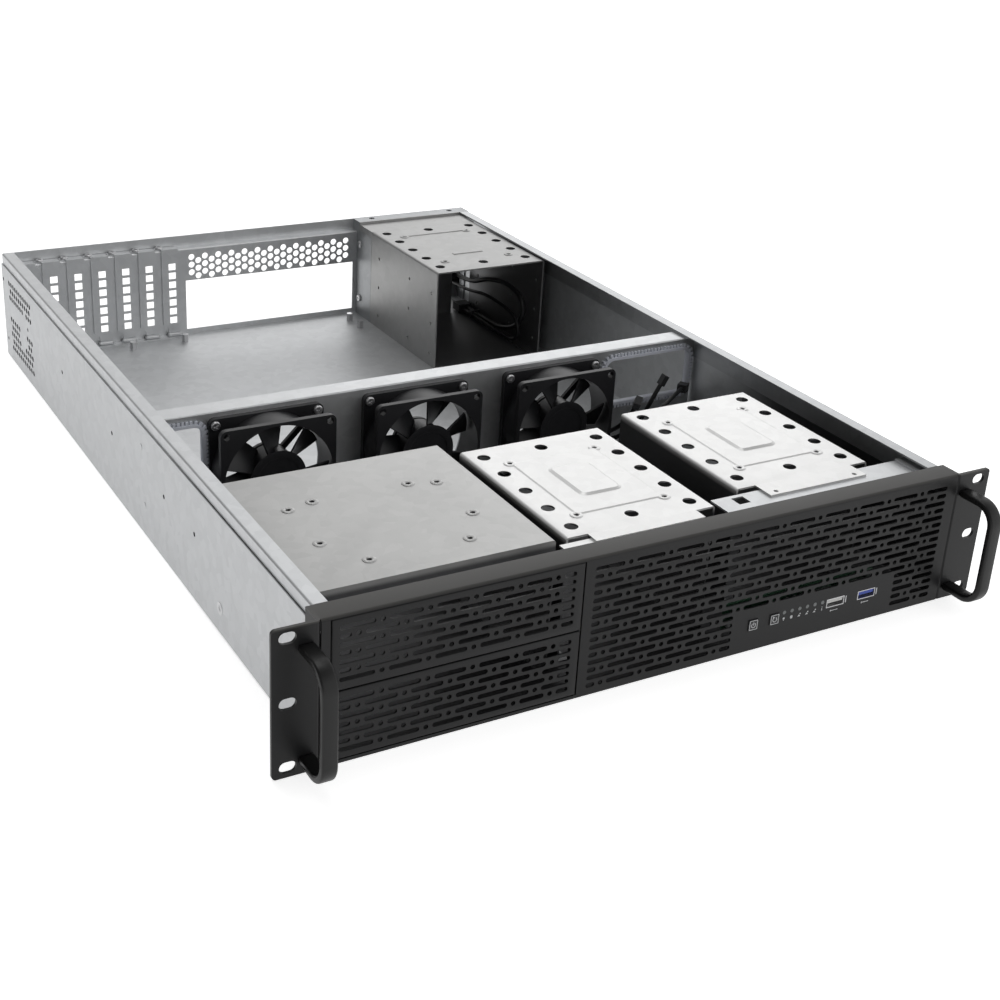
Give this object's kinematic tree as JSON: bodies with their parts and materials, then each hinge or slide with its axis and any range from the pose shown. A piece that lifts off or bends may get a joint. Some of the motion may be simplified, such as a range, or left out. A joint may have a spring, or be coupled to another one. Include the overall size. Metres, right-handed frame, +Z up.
{
  "type": "empty rackmount server case",
  "caption": "Open-topped two-unit rackmount server case with a slotted grille front, drive cages, a fan wall and a rear input and output panel.",
  "frame": {"origin": "on the underside of the base, at mid-width, in the front plane of the rack ears", "axes": "+X to the right seen from the front, +Y to the rear, +Z up"},
  "size_m": [0.4826, 0.675, 0.088],
  "materials": {
    "zinc_steel": "satin",
    "bright_steel": "satin",
    "black_coat": "satin",
    "fan_plastic": "matte",
    "grommet_plastic": "matte",
    "button_plastic": "matte",
    "lens_plastic": "gloss",
    "board": "satin",
    "cable_jacket": "satin",
    "plug_plastic": "satin",
    "screw_steel": "polished"
  },
  "bodies": {
    "chassis": {"base_tray": "zinc_steel", "button_switches": "button_plastic", "cable_tie": "cable_jacket", "drive_blank_lower": "black_coat", "drive_blank_upper": "black_coat", "drive_cage_left": "bright_steel", "drive_cage_middle": "bright_steel", "drive_cage_right": "bright_steel", "ear_left": "black_coat", "ear_right": "black_coat", "fan_frame_1": "fan_plastic", "fan_frame_2": "fan_plastic", "fan_frame_3": "fan_plastic", "fan_lead_1": "cable_jacket", "fan_lead_2": "cable_jacket", "fan_lead_3": "cable_jacket", "fan_screws": "screw_steel", "fan_wall": "zinc_steel", "front_bezel": "black_coat", "front_board_posts": "screw_steel", "front_circuit_board": "board", "front_cross_bracket": "zinc_steel", "grommet_left": "grommet_plastic", "grommet_right": "grommet_plastic", "handle_left": "black_coat", "handle_right": "black_coat", "handle_screws": "screw_steel", "indicator_lights": "lens_plastic", "lead_plug_1": "plug_plastic", "lead_plug_2": "plug_plastic", "lead_plug_3": "plug_plastic", "motherboard_posts": "screw_steel", "rail_left": "zinc_steel", "rail_right": "zinc_steel", "rear_bracket": "zinc_steel", "rear_bracket_screws": "screw_steel", "rear_cable_1": "cable_jacket", "rear_cable_2": "cable_jacket", "rear_cable_plug_lower": "plug_plastic", "rear_cable_plug_upper": "plug_plastic", "rear_drive_cage": "bright_steel", "rear_panel": "zinc_steel", "slot_cover_1": "zinc_steel", "slot_cover_2": "zinc_steel", "slot_cover_3": "zinc_steel", "slot_cover_4": "zinc_steel", "slot_cover_5": "zinc_steel", "slot_cover_6": "zinc_steel", "slot_cover_7": "zinc_steel", "slot_cover_screws": "screw_steel", "usb_port_left": "screw_steel", "usb_port_right": "screw_steel"},
    "fan_rotor_1": {"fan_rotor_1": "fan_plastic"},
    "fan_rotor_2": {"fan_rotor_2": "fan_plastic"},
    "fan_rotor_3": {"fan_rotor_3": "fan_plastic"},
    "power_button": {"power_button": "button_plastic"},
    "reset_button": {"reset_button": "button_plastic"}
  },
  "joints": [
    {"name": "fan_1_spin", "type": "hinge", "parent": "chassis", "child": "fan_rotor_1", "pos_m": [-0.1344, 0.2475, 0.0422], "axis": [0, 1, 0], "continuous": true},
    {"name": "fan_2_spin", "type": "hinge", "parent": "chassis", "child": "fan_rotor_2", "pos_m": [-0.02475, 0.2475, 0.0422], "axis": [0, 1, 0], "continuous": true},
    {"name": "fan_3_spin", "type": "hinge", "parent": "chassis", "child": "fan_rotor_3", "pos_m": [0.0849, 0.2475, 0.0422], "axis": [0, 1, 0], "continuous": true},
    {"name": "power_button_press", "type": "slide", "parent": "chassis", "child": "power_button", "axis": [0, 1, 0], "range_m": [0, 0.001], "stiffness_N_per_m": 800, "springref_m": -0.0008},
    {"name": "reset_button_press", "type": "slide", "parent": "chassis", "child": "reset_button", "axis": [0, 1, 0], "range_m": [0, 0.001], "stiffness_N_per_m": 800, "springref_m": -0.0008}
  ]
}
